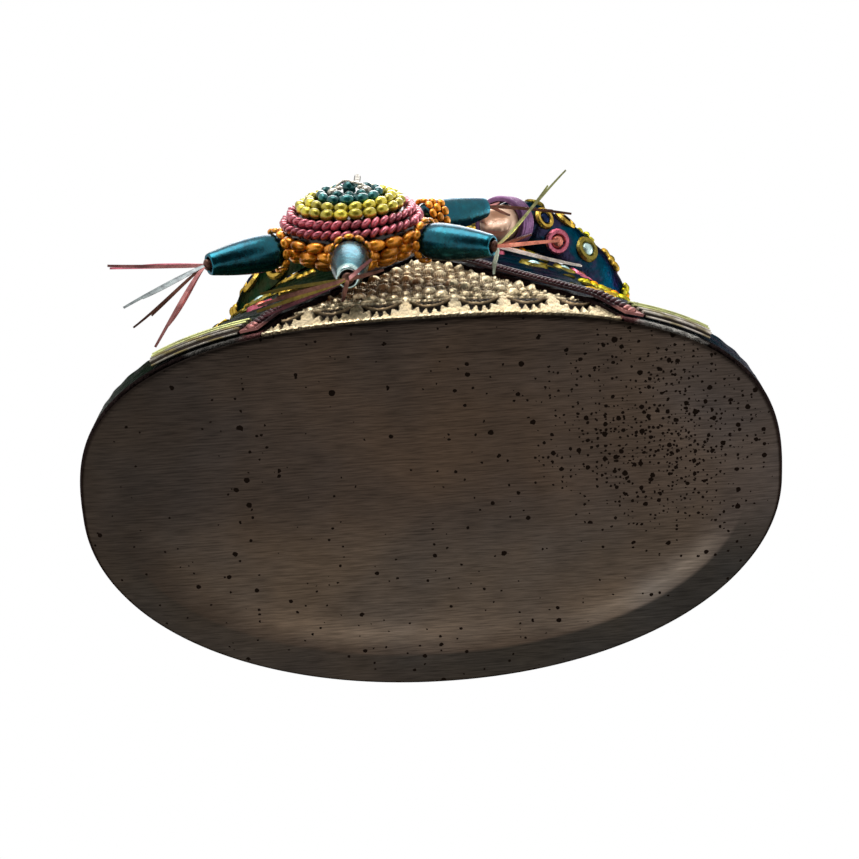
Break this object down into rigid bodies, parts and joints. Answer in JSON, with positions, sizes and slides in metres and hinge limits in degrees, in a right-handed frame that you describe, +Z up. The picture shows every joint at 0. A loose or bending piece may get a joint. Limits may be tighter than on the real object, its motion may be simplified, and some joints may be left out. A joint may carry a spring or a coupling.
{
  "type": "santa ornament",
  "caption": "Standing santa figure of pressed metal in an open lacquered coat, with a beaded star pinata that swings from one hand and a wire loop on top for hanging.",
  "frame": {"origin": "middle of the underside of the base plate, which stands on the floor", "axes": "+Z up through the figure, front towards -Y, +X to the left hand of the figure"},
  "size_m": [0.07, 0.0491, 0.1223],
  "materials": {
    "gunmetal": "brushed, dark, spotted with age",
    "pewter": "pressed relief, warm grey metal",
    "teal": "clear teal lacquer over metal",
    "green": "clear green lacquer over metal",
    "pink": "pink metallic paint",
    "yellow": "yellow green metallic paint",
    "orange": "orange metallic paint",
    "purple": "purple metallic paint",
    "skin": "satin paint",
    "white": "satin paint with a pearl sheen",
    "red": "red metallic paint",
    "silver": "bright wire",
    "foil": "thin coloured foil"
  },
  "bodies": {
    "figure": {"base_plate": "gunmetal", "beard": "white", "coat_back": "teal", "coat_front_left": "teal", "coat_front_right": "green", "cuff_left": "purple", "cuff_right": "purple", "edge_trim_left": "pink", "edge_trim_right": "pink", "hair_back": "white", "hand_left": "skin", "hand_right": "skin", "hand_staple": "silver", "hanger_loop": "silver", "hat_band": "white", "hat_crown": "red", "hat_pompom": "pewter", "head": "skin", "hem_band_left": "yellow", "hem_band_right": "yellow", "moustache": "white", "robe_front": "pewter", "shoulder_yoke": "teal", "sleeve_left": "teal", "sleeve_right": "teal"},
    "jump_ring": {"jump_ring": "silver"},
    "pinata": {"pinata_centre": "silver", "pinata_collar_1": "orange", "pinata_collar_2": "orange", "pinata_collar_3": "orange", "pinata_collar_4": "orange", "pinata_cone_1": "teal", "pinata_cone_2": "teal", "pinata_cone_3": "teal", "pinata_cone_4": "teal", "pinata_eye": "silver", "pinata_front_shell": "orange", "pinata_pink_ring": "pink", "pinata_rear_shell": "orange", "pinata_tassel_1": "foil", "pinata_tassel_2": "foil", "pinata_tassel_3": "foil", "pinata_tassel_4": "foil", "pinata_teal_ring": "teal", "pinata_yellow_ring": "yellow"}
  },
  "joints": [
    {"name": "jump_ring_sway", "type": "hinge", "parent": "figure", "child": "jump_ring", "pos_m": [-0.0067, -0.0225, 0.03725], "axis": [0, 1, 0], "range_deg": [-20, 20]},
    {"name": "pinata_swing", "type": "hinge", "parent": "jump_ring", "child": "pinata", "pos_m": [-0.0067, -0.0225, 0.03435], "axis": [-1, 0, 0], "range_deg": [0, 45]}
  ]
}
